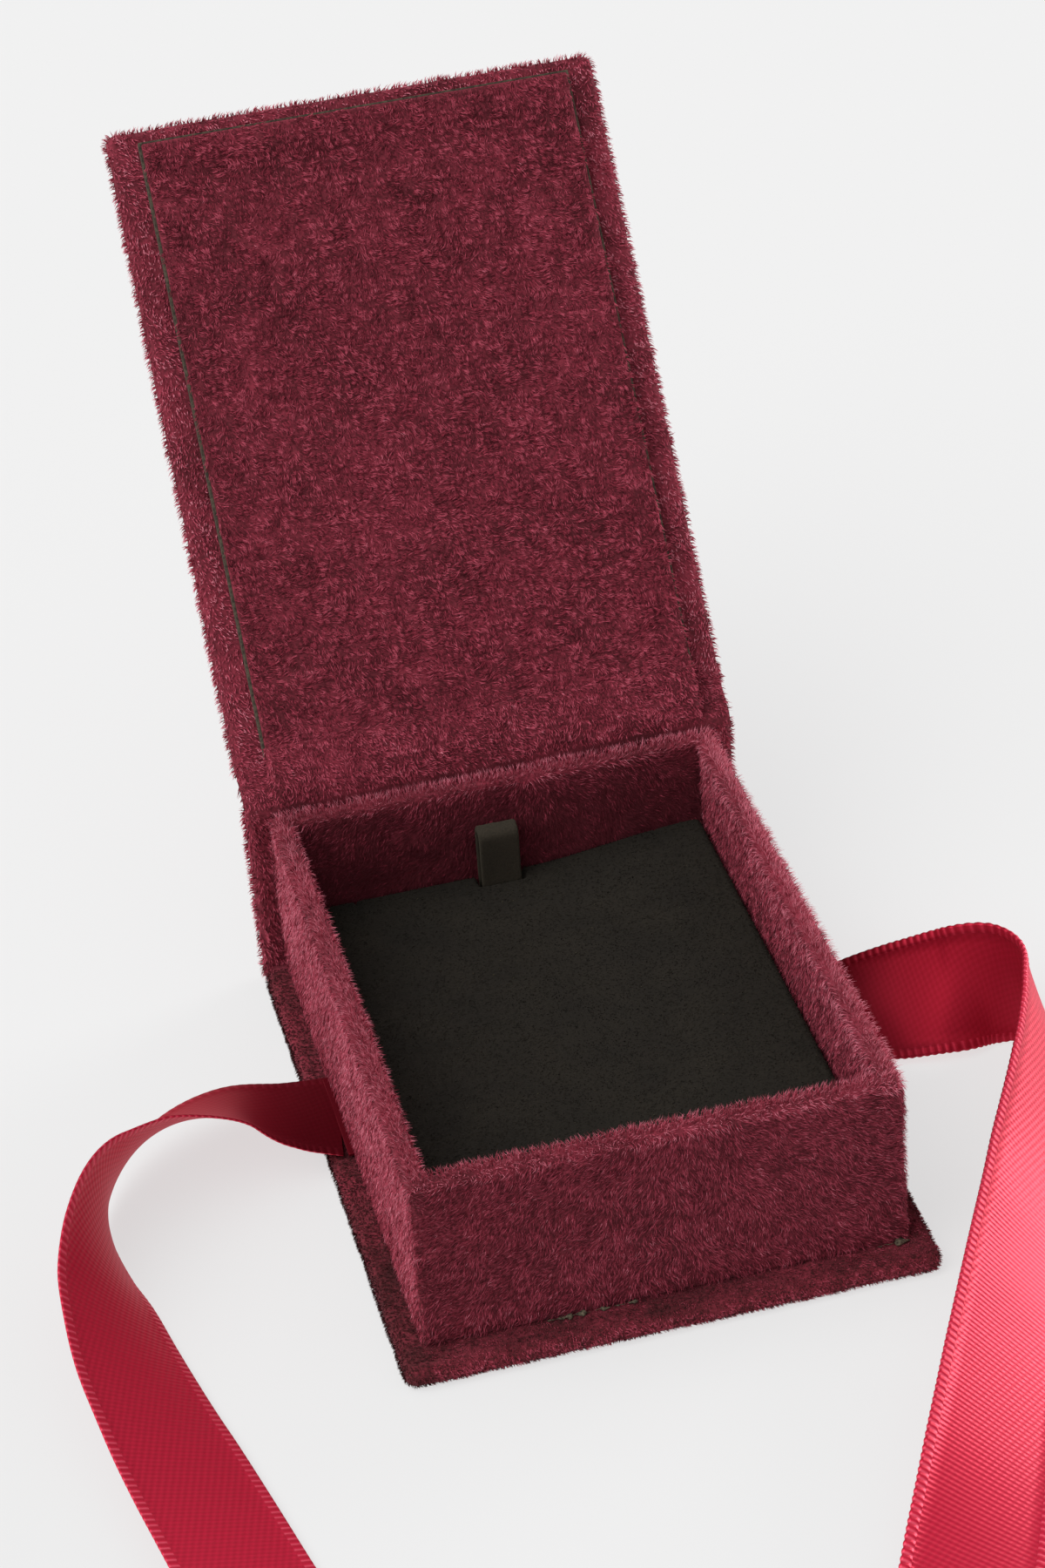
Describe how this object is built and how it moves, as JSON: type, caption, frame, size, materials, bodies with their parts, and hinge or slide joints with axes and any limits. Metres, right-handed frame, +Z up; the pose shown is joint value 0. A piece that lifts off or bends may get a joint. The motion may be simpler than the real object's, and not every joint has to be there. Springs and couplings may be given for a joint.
{
  "type": "jewelry box",
  "caption": "Book-style jewelry box in plush velvet, with a cloth-hinged lid, an open tray, a lift-out pad with a pull tab and ribbon ties.",
  "frame": {"origin": "middle of the base board's underside, straight below the middle of the tray", "axes": "+Z up, +X to the right as seen from the opening side, +Y from the opening side towards the hinge"},
  "size_m": [0.1576, 0.3094, 0.1194],
  "materials": {
    "velvet": "plush burgundy velvet, tufted pile",
    "liner_velvet": "short burgundy velvet on card, raw cut edge",
    "black_velvet": "matte black flocked velvet",
    "satin": "glossy satin on one face, dull on the other",
    "greyboard": "plain grey bookbinding board",
    "foam": "soft open foam"
  },
  "bodies": {
    "box": {"base_board": "greyboard", "base_cover": "velvet", "spine_board": "greyboard", "spine_cover": "velvet", "hinge_cloth": "velvet", "tray_bottom": "greyboard", "tray_board_front": "greyboard", "tray_board_back": "greyboard", "tray_board_left": "greyboard", "tray_board_right": "greyboard", "tray_cover_front": "velvet", "tray_cover_back": "velvet", "tray_cover_left": "velvet", "tray_cover_right": "velvet", "ribbon_under": "satin", "ribbon_tail_left": "satin", "ribbon_tail_right": "satin"},
    "lid": {"lid_board": "greyboard", "lid_cover": "velvet", "liner_card": "greyboard", "liner_cover": "liner_velvet"},
    "pad": {"pad_card": "greyboard", "pad_foam": "foam", "pad_cover": "black_velvet", "pull_tab": "black_velvet"}
  },
  "joints": [
    {"name": "lid_hinge", "type": "hinge", "parent": "box", "child": "lid", "pos_m": [0, 0.0512, 0.0354], "axis": [1, 0, 0], "range_deg": [-52.8, 127.2]},
    {"name": "pad_lift", "type": "slide", "parent": "box", "child": "pad", "axis": [0, 0, 1], "range_m": [0, 0.0063]}
  ]
}
